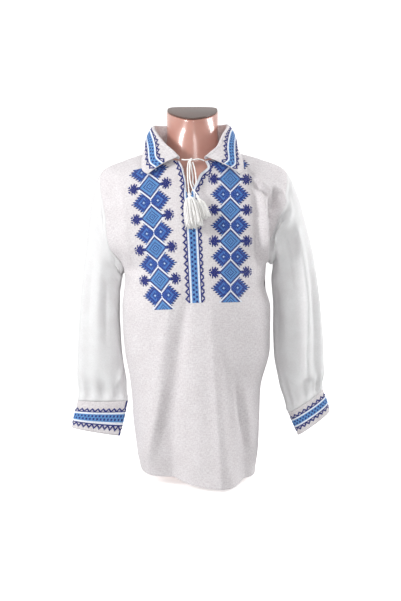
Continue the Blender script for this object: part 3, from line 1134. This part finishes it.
def onto_collar(rough):
    """The place on the collar's outer face nearest a rough one."""
    hit, out, _, _ = collar_tree.find_nearest(Vector(rough))
    return on_face(hit, out if out.dot(hit - Vector((NECK_X, 0.0, 0.60))) > 0 else -out)


collar_stitches = embroidery("collar_embroidery", cross_stitches(
    collar_corner, onto_collar, (0, BAND_WIDE), (0, int((border_along[-1] - 0.002) / BORDER_CELL[1])),
    band_colour, BORDER_THREAD))

# A cuff's border leaves some cloth, and this share of it is above the border. The wearer's right cuff has its
# end overcast in navy, by rows above and below its border and columns back from the border's end.
CUFF_BORDERS = {
    "left": (CUFF_LEFT, 0.50, ()),
    "right": (CUFF_RIGHT, 0.74, ((-9, 0), (BAND_WIDE, BAND_WIDE + 3))),
}
OVERCAST = (3, 1)
for name, (table, share, overcast) in CUFF_BORDERS.items():
    w, rings = ring_points(table, np.linspace(0, 2 * math.pi, 721))
    around = run_length(rings[1])
    count = round(around[-1] / BORDER_CELL[1] / 12) * 12     # whole repeats of the teeth and the dots
    cell = around[-1] / count
    margin = (w[-1] - BAND_WIDE * BORDER_CELL[0]) * share

    def cuff_corner(i, j, w=w, rings=rings, around=around, cell=cell, margin=margin):
        at = (j * cell + around[-1] / 2) % around[-1]     # from the cuff's inner side
        turn = np.interp(at, around, np.arange(len(around)))
        k = int(turn) % (rings.shape[1] - 1)
        ring = rings[:, k] * (1 - turn % 1) + rings[:, k + 1] * (turn % 1)
        return np.array([spline(w, ring[:, axis], margin + i * BORDER_CELL[0]) for axis in range(3)])

    place = onto(cuff_trees[name])
    bars = cross_stitches(cuff_corner, place, (0, BAND_WIDE), (0, count), band_colour, BORDER_THREAD)
    for down_to in overcast:
        bars += cross_stitches(cuff_corner, place, down_to, (count - OVERCAST[0], count - OVERCAST[1]),
                               lambda i, j: "n", BORDER_THREAD)
    embroidery("cuff_" + name + "_embroidery", bars)

# ---------------------------------------------------------------- the tie and its tassels
def smooth_route(points, count):
    """Evenly read points of a smooth curve through a route's own points."""
    points = np.array(points, float)
    along = run_length(points)
    padded = np.concatenate([[2 * points[0] - points[1]], points, [2 * points[-1] - points[-2]]])
    slope = (padded[2:] - padded[:-2]) / 2
    found = []
    for at in np.linspace(0, along[-1], count):
        k = min(int(np.searchsorted(along, at, side="right")) - 1, len(points) - 2)
        t = (at - along[k]) / (along[k + 1] - along[k])
        found.append(hermite(t, points[k], slope[k], points[k + 1], slope[k + 1]))
    return np.array(found)


def circle(turn, side, other):
    """Ways out from a circle's middle, at the angles turn, from its two axes."""
    return np.cos(turn)[:, None] * side + np.sin(turn)[:, None] * other


def tube_grid(path, radius, sides, plies=0):
    """Rings round a path; plies give the tube the ridges of twisted strands, one turn to each lay."""
    ahead = unit(np.gradient(path, axis=0))
    side = np.cross(ahead[0], (0.3, 1.0, 0.2))
    turn = np.linspace(0, 2 * math.pi, sides + 1)
    rows = []
    for point, way, along in zip(path, ahead, run_length(path)):
        side = unit(side - way * side.dot(way))
        ridges = 0.90 + 0.13 * np.abs(np.cos((turn - along / TIE_LAY * 2 * math.pi) * plies / 2))
        swell = radius * (ridges if plies else np.ones_like(turn))
        rows.append(point + circle(turn, side, np.cross(way, side)) * swell[:, None])
    return np.stack(rows)


def tube_mesh(name, grids):
    """Tubes with closed ends, from their rings."""
    bm = bmesh.new()
    for grid in grids:
        add_grid(bm, grid)
    bmesh.ops.remove_doubles(bm, verts=bm.verts, dist=1e-6)
    bmesh.ops.holes_fill(bm, edges=[edge for edge in bm.edges if edge.is_boundary], sides=0)
    bmesh.ops.recalc_face_normals(bm, faces=bm.faces)
    return smooth_mesh(bm, name)


# Each length of the tie: the stretches that it runs along, in at one side of the knot and out below it, and
# its tassel, which it is bound into as far as TASSEL_HOLD of the tassel's length.
TIE_CORDS = {
    "tie_right_side": (("tie_run_right", "tie_end_left"), "tassel_left"),
    "tie_left_side": (("tie_run_left", "tie_end_right"), "tassel_right"),
    "tie_bow_loop": (("tie_loop",), None),
}
TASSEL_HOLD = 0.35
tie_paths, tie_cords = {}, {}
for name, (stretches, end) in TIE_CORDS.items():
    route = list(TIE_ROUTES[stretches[0]])
    if end:
        route = route[::-1] if name == "tie_left_side" else route
        top, tip = (np.array(point) for point in TASSELS[end][:2])
        route += [TIE_KNOT, *TIE_ROUTES[stretches[1]], top + (tip - top) * TASSEL_HOLD]
    path = smooth_route(route, 16 * len(route))
    tie_paths[name] = path
    tube = tube_mesh(name, [tube_grid(path, TIE_RADIUS, TIE_SIDES, TIE_PLIES)])
    tie_cords[name] = new_object(name + "_cord", tube, tie_cotton, stretches)

# The bow's knot: two crossed wraps of the cord, pulled tight.
knot_grids = []
turn = np.linspace(0, 2 * math.pi, 25)
for tilt, size in ((0.35, 1.0), (-0.45, 0.92)):
    wrap = np.stack([np.sin(turn) * 0.0012 * size + np.cos(turn) * tilt * 0.0016,
                     -np.cos(turn) * 0.0018 * size, np.sin(turn) * 0.0026 * size], -1)
    knot_grids.append(tube_grid(wrap + TIE_KNOT, TIE_RADIUS * 0.95, 14, TIE_PLIES))
knot = new_object("tie_knot_cord", tube_mesh("tie_knot", knot_grids), tie_cotton, ["tie_knot"])

# How far a tassel's strand lies from its middle, down to its binding: (drop, share of its reach).
TASSEL_HEAD = ((0.0012, 0.418), (0.0040, 0.646), (0.0070, 0.494), (0.0092, 0.38))
TASSEL_NECK = 0.010            # its drop, below which the strands hang free
HEAD_REACH = 0.0046
STRAND_RADIUS = 0.00082        # thicker than the real ones, since there are fewer
BINDING_DROPS, BINDING_REACH, BINDING_RADIUS = (0.0080, 0.0090, 0.0100), 0.0024, 0.0006
GOLDEN_TURN = 2.39996          # spreads the strands evenly over a disc


def tassel(name, top, tip, widest, strands, seed):
    """A tassel: a round head, a bound neck, and many loose strands cut off unevenly."""
    shuffle = random.Random(seed)
    top, tip = np.array(top), np.array(tip)
    down = unit(tip - top)
    long = np.linalg.norm(tip - top)
    side = unit(np.cross(down, (0.0, 1.0, 0.2)))
    other = np.cross(down, side)
    grids = []
    for k in range(strands):
        share = math.sqrt((k + 0.5) / strands)
        reach = widest * share * (0.95 + 0.30 * shuffle.random())
        end = long * (0.90 + 0.12 * shuffle.random()) * (1.0 - 0.06 * share)
        sway = (shuffle.random() - 0.5) * 0.6
        spots = []
        for drop, spread in (*TASSEL_HEAD, (0.017, 0.60), (end * 0.42, 0.86), (end * 0.7, 1.0), (end, 1.04)):
            turn = np.array([k * GOLDEN_TURN + sway * drop / long])
            wide = spread * (min(reach, HEAD_REACH) if drop < TASSEL_NECK else reach)
            spots.append(top + down * drop + wide * circle(turn, side, other)[0])
        grids.append(tube_grid(smooth_route(spots, 18), STRAND_RADIUS, 5))
    for level in BINDING_DROPS:
        band = top + down * level + BINDING_REACH * circle(np.linspace(0, 2 * math.pi, 21), side, other)
        grids.append(tube_grid(band, BINDING_RADIUS, 6))
    return new_object(name + "_threads", tube_mesh(name, grids), tie_cotton, [name])


tassels = {name: tassel(name, *shape) for name, shape in TASSELS.items()}


def length_of(path):
    """Length along a path's points."""
    return float(run_length(path)[-1])


for name, far_end, pieces in (("tie_right_side", "fitting", [tassels["tassel_left"]]),
                              ("tie_left_side", "fitting", [tassels["tassel_right"], knot]),
                              ("tie_bow_loop", "object", [])):
    path = tie_paths[name]
    length_of(path)

# ---------------------------------------------------------------- floor, light and camera
bpy.ops.mesh.primitive_plane_add(size=30.0)
floor = bpy.context.object
floor.name = "floor"
paper, tree, output = blank_material("white_paper_sweep")
shade = node(tree, "ShaderNodeBsdfPrincipled", {"Base Color": linear("#f4f4f4"), "Roughness": 0.9,
                                                "Emission Color": linear("#ffffff"),
                                                "Emission Strength": 0.60})
tree.links.new(shade.outputs[0], output.inputs["Surface"])
floor.data.materials.append(paper)
floor.visible_diffuse = False      # its white doesn't light the folds from below

# The studio round it: a bright white backdrop behind, and a dimmer room in front, darker to the right.
BACKDROP, ROOM, ROOM_SLOPE, ROOM_RISE = 1.25, 0.54, -0.09, 0.02
world = bpy.data.worlds.new("studio")
bpy.context.scene.world = world
world.use_nodes = True
tree = world.node_tree
way = node(tree, "ShaderNodeSeparateXYZ", {0: node(tree, "ShaderNodeTexCoord").outputs["Generated"]})
behind = node(tree, "ShaderNodeMapRange", {"Value": way.outputs["Y"], "From Min": 0.25, "From Max": 0.75})
room = node(tree, "ShaderNodeMath", {0: way.outputs["X"], 1: ROOM_SLOPE, 2: ROOM}, operation="MULTIPLY_ADD")
room = node(tree, "ShaderNodeMath", {0: way.outputs["Z"], 1: ROOM_RISE, 2: room.outputs[0]},
            operation="MULTIPLY_ADD")
glow = node(tree, "ShaderNodeMix", {0: behind.outputs[0], 2: room.outputs[0], 3: BACKDROP})
tree.links.new(glow.outputs[0], tree.nodes["Background"].inputs["Strength"])
tree.nodes["Background"].inputs["Color"].default_value = linear("#ffffff")


def softbox(name, place, aim, size, energy):
    """A square softbox that faces a point."""
    light = bpy.data.lights.new(name, "AREA")
    light.size = size
    light.energy = energy
    made = bpy.data.objects.new(name, light)
    made.location = place
    made.rotation_euler = (Vector(aim) - Vector(place)).to_track_quat("-Z", "Y").to_euler()
    bpy.context.scene.collection.objects.link(made)


softbox("key_light", (-2.2, -1.5, 1.4), (0.0, 0.0, 0.42), 0.6, 46)
softbox("front_light", (0.6, -2.4, 1.3), (0.0, 0.0, 0.50), 0.7, 13)
softbox("edge_light", (2.2, 0.4, 1.3), (0.10, 0.0, 0.50), 0.8, 32)

camera = bpy.data.cameras.new("camera")
camera.sensor_fit = "VERTICAL"
camera.sensor_height = 36
camera.lens = 62.5
camera.shift_x = 0.0091514
camera.shift_y = -0.125624         # looks straight ahead from the chest, with the hem in the picture
camera_place = bpy.data.objects.new("camera", camera)
camera_place.location = (0.0, -2.4, 0.578)
camera_place.rotation_euler = (math.pi / 2, 0.0, 0.0)
bpy.context.scene.collection.objects.link(camera_place)
bpy.context.scene.camera = camera_place
bpy.context.scene.view_settings.view_transform = "Standard"
